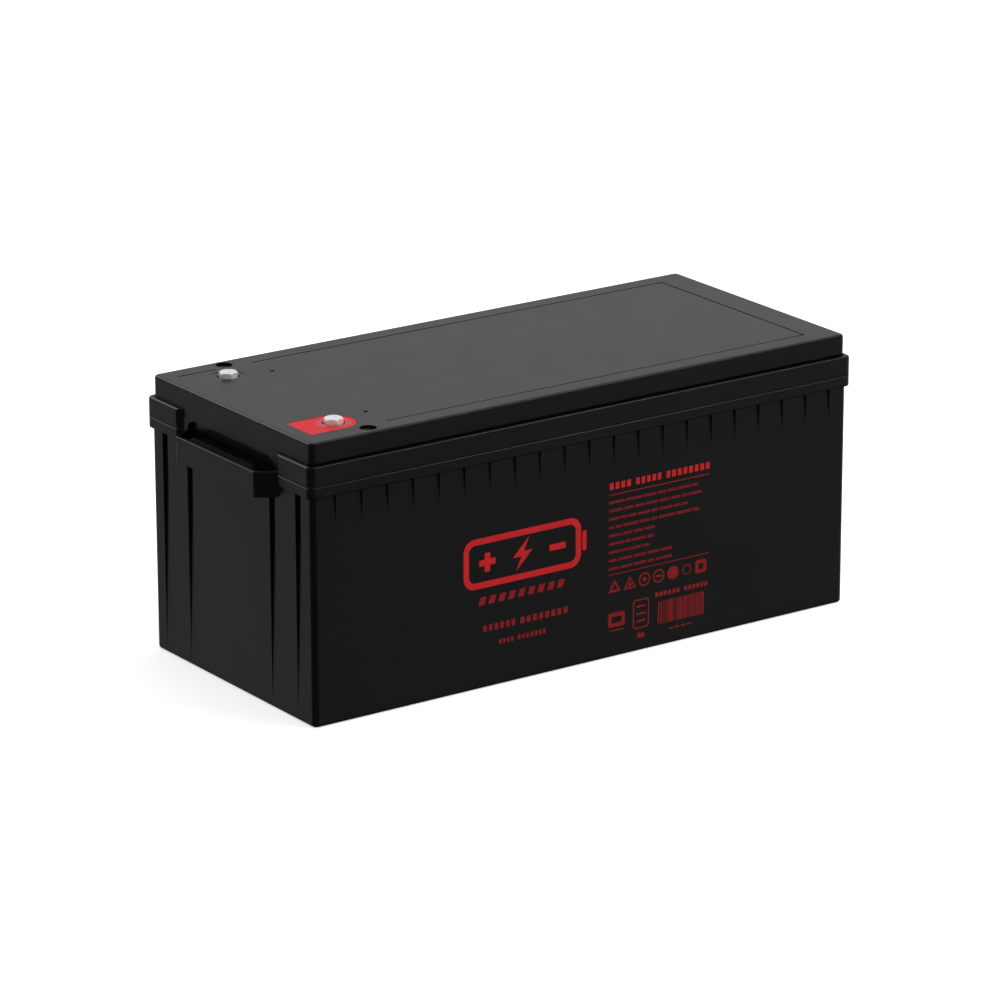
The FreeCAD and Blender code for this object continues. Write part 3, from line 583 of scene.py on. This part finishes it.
def rope_route(word, across):
    """(spot, direction, length) along half a rope, from its middle to inside its stop."""
    run_low, run_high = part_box(f"{word}_rope_run")
    ends_low, ends_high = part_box(f"{word}_rope_ends")
    x = (run_low.x + run_high.x) / 2
    z = (run_low.z + run_high.z) / 2
    corner = across * ((run_high.y - run_low.y) / 2)
    foot = ends_low.z + 1 * MM
    straight = abs(corner)
    bend = (ends_high.y - ends_low.y) / 2 - STOP_RADIUS - straight
    quarter = bend * math.pi / 2
    total = straight + quarter + (z - bend - foot)
    steps = round(total / ROPE_STEP)
    for step in range(steps + 1):
        length = total * step / steps
        if length < straight:
            yield Vector((x, across * length, z)), Vector((0, across, 0)), length
        elif length < straight + quarter:
            angle = (length - straight) / bend
            yield (Vector((x, corner + across * bend * math.sin(angle),
                           z - bend * (1 - math.cos(angle)))),
                   Vector((0, across * math.cos(angle), -math.sin(angle))), length)
        else:
            yield (Vector((x, corner + across * bend,
                           z - bend - (length - straight - quarter))),
                   Vector((0, 0, -1)), length)


def rope_half(word, end, across):
    """Half a braided rope. Both halves meet in the middle, strand on strand."""
    route = list(rope_route(word, across))
    side = Vector((1, 0, 0))
    frames = [(spot, ahead, side.cross(ahead) * across, across * length)
              for spot, ahead, length in route]
    points, faces, along = [], [], []

    def tube(rings):
        """Add the skin through rings, one for each frame."""
        first = len(points)
        if across < 0:
            rings = [list(reversed(ring)) for ring in rings]
        new_points, new_faces = loft(rings)
        points.extend(new_points)
        faces.extend(tuple(first + index for index in face) for face in new_faces)
        along.extend(length for _, _, _, length in frames for _ in rings[0])

    tube([[spot + side * CORE_RADIUS * math.cos(angle) + up * CORE_RADIUS * math.sin(angle)
           for angle in turn(24)] for spot, _, up, _ in frames])
    for sense in (-1, 1):
        for strand in range(STRANDS_EACH_WAY):
            rings = []
            for spot, ahead, up, length in frames:
                phase = length / BRAID_LAY
                angle = math.tau * (strand / STRANDS_EACH_WAY + sense * phase)
                wave = sense * BRAID_WAVE * math.cos(math.tau * STRANDS_EACH_WAY * phase)
                out = side * math.cos(angle) + up * math.sin(angle)
                around = up * math.cos(angle) - side * math.sin(angle)
                slope = sense * math.tau * BRAID_RADIUS / BRAID_LAY
                forward = (ahead * across + around * slope).normalized()
                wide = out.cross(forward)
                middle = spot + out * (BRAID_RADIUS + wave)
                rings.append([middle + wide * STRAND_HALF[0] * math.cos(turned)
                              + out * STRAND_HALF[1] * math.sin(turned)
                              for turned in turn(STRAND_SIDES)])
            tube(rings)

    made = piece(f"{word}_rope_{end}", points, faces, "rope")
    layer = made.data.uv_layers.new(name="strand")
    for loop in made.data.loops:
        index = loop.vertex_index
        around = index % STRAND_SIDES / STRAND_SIDES * STRAND_GIRTH
        layer.data[loop.index].uv = (along[index], around)
    corner = route[0][0].copy()
    corner.y = across * abs(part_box(f"{word}_rope_run")[1].y)
    inner = corner.copy()
    inner.y *= BEND_SHARE
    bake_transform(made)
    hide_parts(f"{word}_rope_ends", f"{word}_rope_run")


def rope_stop(word, end, across):
    """The moulded stop that keeps a rope's end under the tray."""
    low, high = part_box(f"{word}_rope_ends")
    centre = Vector(((low.x + high.x) / 2, across * ((high.y - low.y) / 2 - STOP_RADIUS), 0))
    rings = [about(centre, lambda angle: radius * MM, low.z + z * MM, turn(40))
             for radius, z in STOP_OUTLINE]
    points, faces = loft(rings)
    piece(f"{word}_rope_stop_{end}", points, faces, "rubber", f"{word}_rope_ends")


for word in ("left", "right"):
    for end, across in (("front", -1), ("back", 1)):
        rope_half(word, end, across)
        rope_stop(word, end, across)


# ---------------------------------------------------------------- print on the front

INK = 0.05 * MM            # how far the ink's face stands off the wall
ART_SCALE = 0.988
ART_PLACE = (-3.2, 0.4)    # where the artwork's own origin falls on the wall, mm
wall = BVHTree.FromObject(nodes["case"], bpy.context.evaluated_depsgraph_get())


def on_wall(x, z, lift):
    """The spot on the front wall for x and z of the artwork, in millimetres, lifted off it."""
    spot = Vector((ART_PLACE[0] + ART_SCALE * x, 0, ART_PLACE[1] + ART_SCALE * z)) * MM
    spot.y = cad_low.y - 1    # a metre in front of it
    hit = wall.ray_cast(spot, Vector((0, 1, 0)))[0]
    return hit - Vector((0, lift, 0))


class Print:
    """Flat shapes in one ink, gathered into one piece. Places are in millimetres, X and Z.
    Each shape has a face just in front of the wall, and sides that run back into it."""

    def __init__(self):
        self.points = []
        self.faces = []

    def band(self, outer, inner):
        """The area between two outlines with the same number of points, anticlockwise."""
        first = len(self.points)
        count = len(outer)
        for outline in (outer, inner):
            for lift in (INK, -INK):
                self.points.extend(on_wall(x, z, lift) for x, z in outline)
        for step in range(count):
            after = (step + 1) % count
            near, far = first + step, first + after
            self.faces += [(near, far, far + 2 * count, near + 2 * count),
                           (near + count, far + count, far, near),
                           (near + 2 * count, far + 2 * count, far + 3 * count, near + 3 * count)]

    def area(self, outline):
        """A filled outline, anticlockwise."""
        first = len(self.points)
        count = len(outline)
        for lift in (INK, -INK):
            self.points.extend(on_wall(x, z, lift) for x, z in outline)
        self.faces.append(tuple(range(first, first + count)))
        for step in range(count):
            near, far = first + step, first + (step + 1) % count
            self.faces.append((near + count, far + count, far, near))

    def bar(self, left, right, middle, height, slant=0.0):
        """A level bar; slant moves its top edge along X."""
        low, high = middle - height / 2, middle + height / 2
        self.area([(left, low), (right, low), (right + slant, high), (left + slant, high)])

    def words(self, spans, middle, height, letter, gap):
        """Words stood in for by rows of upright blocks, one block for each letter."""
        for left, right in spans:
            count = max(1, round((right - left + gap) / (letter + gap)))
            pitch = (right - left + gap) / count
            for index in range(count):
                start = left + pitch * index
                self.bar(start, start + pitch - gap, middle, height)

    def finish(self, name, ink=wall_ink):
        """Make the piece, in the given ink."""
        paint(piece(name, self.points, self.faces, "mark_red", "battery", smooth=False), ink)


def disc(x, z, radius, count=48, start=0.0):
    """Points anticlockwise round a circle, or round an even shape with a few corners."""
    return [(x + radius * math.cos(angle), z + radius * math.sin(angle))
            for angle in turn(count, start)]


def panel(left, right, low, high, radius):
    """An upright rectangle with rounded corners."""
    return rounded(left, right, low, high, radius, 8)


def plus(x, z, reach, half):
    """A plus sign whose arms reach that far and are twice half thick."""
    return [(x - reach, z - half), (x - half, z - half), (x - half, z - reach),
            (x + half, z - reach), (x + half, z - half), (x + reach, z - half),
            (x + reach, z + half), (x + half, z + half), (x + half, z + reach),
            (x - half, z + reach), (x - half, z + half), (x - reach, z + half)]


SPARK = [(-63.5, 87.5), (-48.5, 102.5), (-56.2, 102.5), (-51.5, 113.5), (-66.5, 98.5),
         (-58.5, 98.5)]


def emblem():
    """A battery outline with a plus, a spark and a minus."""
    art = Print()
    left, right, low, high, stroke = -112, -3, 80, 120, 5
    art.band(panel(left, right, low, high, 10),
             panel(left + stroke, right - stroke, low + stroke, high - stroke, 5.5))
    middle = (low + high) / 2
    art.area(rounded(right + 1.2, right + 5.2, middle - 8, middle + 8, 1.5, 3))
    art.area(plus(-90, middle, 7.5, 2.5))
    art.area(SPARK)
    art.bar(-32.5, -17.5, middle, 5)
    art.finish("print_emblem")


def gauge():
    """A row of slanted blocks, with two lines of blocks under it."""
    art = Print()
    for step in range(9):
        left = -98.5 + 9.1 * step
        art.bar(left, left + 5.6, 69.6, 6.4, 2.0)
    art.finish("print_gauge", fine_ink)
    art = Print()
    art.words(((-94, -64.5), (-59.5, -15.5)), 47.2, 5.2, 3.6, 2.0)
    art.words(((-79.5, -66.0), (-62.0, -36.0)), 34.2, 3.8, 2.6, 1.5)
    art.finish("print_rules", fine_ink)


NOTES_LEFT, NOTES_RIGHT = 23.5, 119.5
NOTES_ROWS = (0.66, 0.66, 0.44, 0.44, 0.45, 0.94, 0.80, 0.94, 0.88)  # lowest first, as shares


def notes():
    """Rows of small blocks in place of print, with a heading row and two thin rules."""
    art = Print()
    art.words(((24, 44.0), (49.0, 73.0), (78.0, 119.5)), 138.2, 5.4, 3.4, 1.9)
    art.finish("print_heading")
    art = Print()
    art.bar(NOTES_LEFT, NOTES_RIGHT, 131.3, 0.9)
    art.bar(NOTES_LEFT, NOTES_RIGHT, 66.8, 0.7)
    draw = random.Random(12)
    for row, share in enumerate(NOTES_ROWS):
        left = NOTES_LEFT
        right = left + (NOTES_RIGHT - NOTES_LEFT) * share
        while left < right - 3:
            length = min(draw.uniform(4.5, 15), right - left)
            art.words(((left, left + length),), 71.6 + 6.7 * row, 2.3, 1.25, 0.55)
            left += length + 1.7
    art.finish("print_notes", fine_ink)


def symbols():
    """A row of plain outlines: triangles, circles, a hexagon and a square."""
    art = Print()
    row = 57.2
    foot = row - 1.4          # middle of the triangles, which stand on the row's lower edge
    up = math.radians(90)
    for x, inner in ((29.0, 3.4), (43.6, 4.6)):
        art.band(disc(x, foot, 6.9, 3, up), disc(x, foot, inner, 3, up))
    art.area(disc(43.6, foot, 2.6, 3, up))
    for x in (57.6, 71.2):
        art.band(disc(x, row, 5.5), disc(x, row, 4.3))
    art.area(disc(57.6, row, 1.8, 24))
    art.bar(68.2, 74.2, row, 1.6)
    art.area(disc(84.9, row, 5.4))
    art.band(disc(98.4, row, 4.6, 6), disc(98.4, row, 3.7, 6))
    art.band(panel(106.6, 117.4, row - 5.4, row + 5.4, 2.2),
             panel(109.6, 114.4, row - 2.4, row + 2.4, 1.0))
    art.finish("print_symbols", fine_ink)


def blocks():
    """Two plain frames with bars, below the symbols."""
    art = Print()
    art.band(panel(23.0, 39.0, 24.0, 35.5, 2.0), panel(26.2, 35.8, 27.2, 32.3, 0.8))
    art.bar(24.0, 38.5, 21.2, 0.9)
    art.band(panel(46.6, 62.2, 18.0, 41.8, 3.0), panel(47.7, 61.1, 19.1, 40.7, 2.1))
    for level in range(3):
        art.bar(50.2, 58.6, 24.0 + 6.0 * level, 1.6)
    art.bar(51.0, 57.8, 12.2, 4.0)
    art.finish("print_blocks", fine_ink)


def stripes():
    """Upright stripes of random width, between a row of blocks and a row of dashes."""
    art = Print()
    art.words(((68.0, 91.5), (96.0, 118.3)), 42.1, 3.6, 2.9, 1.1)
    draw = random.Random(5)
    left = 70.8
    while left < 115.0:
        width = draw.choice((0.6, 0.6, 1.2, 1.8))
        art.bar(left, left + width, 26.8, 18.6)
        left += width + draw.choice((0.6, 0.6, 1.2))
    for step in range(4):
        art.bar(81.5 + 5.8 * step, 85.6 + 5.8 * step, 12.2, 1.3)
    art.finish("print_stripes", fine_ink)


emblem()
gauge()
notes()
symbols()
blocks()
stripes()


# ---------------------------------------------------------------- stage, lights and camera

FLOOR_REACH = 40.0
FLOOR_GAP = 0.4 * MM         # keeps the floor clear of the container's underside


def floor():
    data = bpy.data.meshes.new("floor")
    base = cad_low.z - FLOOR_GAP
    corners = [(-1, -1), (1, -1), (1, 1), (-1, 1)]
    data.from_pydata([(x * FLOOR_REACH, y * FLOOR_REACH, base) for x, y in corners], [],
                     [(0, 1, 2, 3)])
    made = bpy.data.objects.new("floor", data)
    bpy.context.collection.objects.link(made)
    finish = Finish("studio_floor", Specular_IOR_Level=0.0, Roughness=1.0,
                    Emission_Color=(1, 1, 1, 1), Emission_Strength=0.5)
    finish.colour(finish.noise(0.5, 2), (0.84, 0.84, 0.84), (0.86, 0.86, 0.86))
    paint(made, finish.material)
    made.visible_glossy = False


BRIGHT_WAY = (0.78, 0.626, 0.0)     # the level direction in which the gradient is palest
SKY_STOPS = ((0.38, 0.025), (0.44, 0.18), (0.50, 0.23), (0.56, 0.24), (0.95, 0.54))
SKY_BLUE = 1.01                     # blue over red and green in the gradient
SKY_FOOT = (-0.62, -0.48)           # the gradient fades out between these heights, looking down
WHITE_STRENGTH = 0.72


def sky():
    """White, except in reflections. Those see a wide soft gradient, fixed in the world: dark
    against BRIGHT_WAY, pale towards it, and dark again straight below."""
    world = bpy.data.worlds.new("studio")
    bpy.context.scene.world = world
    world.use_nodes = True
    tree = world.node_tree
    tree.nodes.clear()
    node = tree.nodes.new
    link = tree.links.new
    ways = node("ShaderNodeTexCoord")
    across = node("ShaderNodeVectorMath")
    across.operation = "DOT_PRODUCT"
    across.inputs[1].default_value = BRIGHT_WAY
    link(ways.outputs["Generated"], across.inputs[0])
    level = node("ShaderNodeMapRange")
    level.inputs["From Min"].default_value = -1.0
    link(across.outputs["Value"], level.inputs["Value"])
    ramp = node("ShaderNodeValToRGB")
    elements = ramp.color_ramp.elements
    while len(elements) < len(SKY_STOPS):
        elements.new(0.5)
    for element, (place, grey) in zip(elements, SKY_STOPS):
        element.position = place
        element.color = (grey, grey, grey * SKY_BLUE, 1)
    link(level.outputs["Result"], ramp.inputs["Fac"])
    height = node("ShaderNodeSeparateXYZ")
    link(ways.outputs["Generated"], height.inputs[0])
    below = node("ShaderNodeMapRange")
    below.inputs["From Min"].default_value, below.inputs["From Max"].default_value = SKY_FOOT
    link(height.outputs["Z"], below.inputs["Value"])
    faded = node("ShaderNodeVectorMath")
    faded.operation = "SCALE"
    link(ramp.outputs["Color"], faded.inputs[0])
    link(below.outputs["Result"], faded.inputs["Scale"])
    gradient = node("ShaderNodeBackground")
    link(faded.outputs["Vector"], gradient.inputs["Color"])
    white = node("ShaderNodeBackground")
    white.inputs["Color"].default_value = (1, 1, 1, 1)
    white.inputs["Strength"].default_value = WHITE_STRENGTH
    path = node("ShaderNodeLightPath")
    mix = node("ShaderNodeMixShader")
    out = node("ShaderNodeOutputWorld")
    link(path.outputs["Is Glossy Ray"], mix.inputs["Fac"])
    link(white.outputs[0], mix.inputs[1])
    link(gradient.outputs[0], mix.inputs[2])
    link(mix.outputs[0], out.inputs["Surface"])


def softbox(name, way, distance, size, power):
    """A square area light in the direction way from the battery's middle, turned towards it."""
    middle = (cad_low + cad_high) / 2
    light = bpy.data.lights.new(name, "AREA")
    light.shape = "SQUARE"
    light.size = size
    light.energy = power
    made = bpy.data.objects.new(name, light)
    bpy.context.collection.objects.link(made)
    made.location = middle + Vector(way).normalized() * distance
    made.rotation_euler = (middle - made.location).to_track_quat("-Z", "Y").to_euler()
    return made


CAMERA_PLACE = (-2.2550, -3.2150, 1.3784)
CAMERA_YAW = 35.007          # degrees from +Y towards +X
CAMERA_PITCH = -18.017
CAMERA_ROLL = -0.108
CAMERA_LENS = 193.0          # millimetres, on a sensor 36 mm wide


def camera():
    data = bpy.data.cameras.new("camera")
    data.lens = CAMERA_LENS
    data.sensor_width = 36.0
    data.clip_end = 200.0
    made = bpy.data.objects.new("camera", data)
    bpy.context.collection.objects.link(made)
    made.location = CAMERA_PLACE
    level = Euler((math.radians(90 + CAMERA_PITCH), 0, math.radians(-CAMERA_YAW))).to_matrix()
    made.rotation_euler = (level @ Matrix.Rotation(math.radians(CAMERA_ROLL), 3, "Z")).to_euler()
    bpy.context.scene.camera = made


floor()
sky()
overhead = softbox("overhead", (0.53, -0.31, 0.79), 3.6, 2.6, 78)
overhead.visible_glossy = False
softbox("back_left", (-0.31, 0.79, 0.53), 3.6, 1.6, 18)
glint = softbox("edge_glint", (0.545, -0.309, 0.779), 3.4, 0.45, 6)
glint.visible_diffuse = False
camera()
bpy.context.scene.view_settings.view_transform = "Standard"
